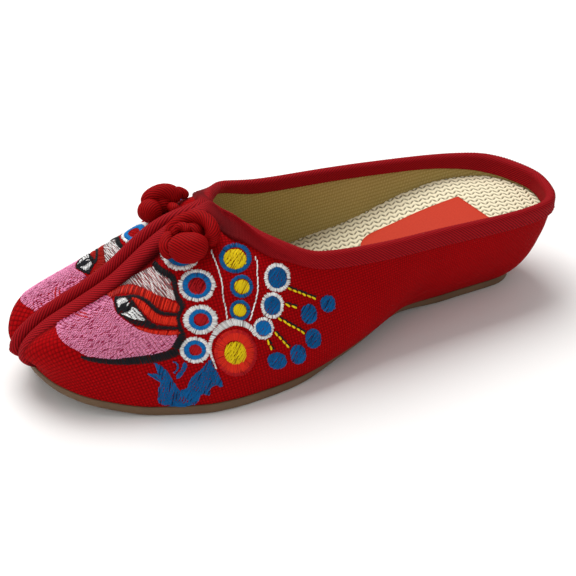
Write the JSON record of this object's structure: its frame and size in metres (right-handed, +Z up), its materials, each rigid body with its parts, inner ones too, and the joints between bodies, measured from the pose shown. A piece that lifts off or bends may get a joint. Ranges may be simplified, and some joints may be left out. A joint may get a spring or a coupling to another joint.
{
  "type": "embroidered slipper",
  "caption": "Left-foot backless cloth slipper with a tape-bound collar, a standing front seam, cord button knots, a wedge foot bed and a thin rubber sole.",
  "frame": {"origin": "middle of the bounding box's bottom, on the floor that the shoe stands on", "axes": "+X towards the toe, +Y towards the wearer's left (the outer side of this left shoe), +Z up"},
  "size_m": [0.2338, 0.0906, 0.0682],
  "materials": {
    "outsole_rubber": "matt tan rubber",
    "foot_bed_weave": "cream weave with taupe chevrons",
    "red_canvas": "plain-woven cotton canvas",
    "red_twill_tape": "ribbed twill tape",
    "red_cord": "wrapped thread cord"
  },
  "bodies": {
    "root": {"outsole": "outsole_rubber", "insole": "foot_bed_weave", "upper": "red_canvas", "collar_binding": "red_twill_tape", "ridge_binding_left": "red_twill_tape", "ridge_binding_right": "red_twill_tape", "knot_left": "red_cord", "knot_right": "red_cord"}
  },
  "joints": []
}
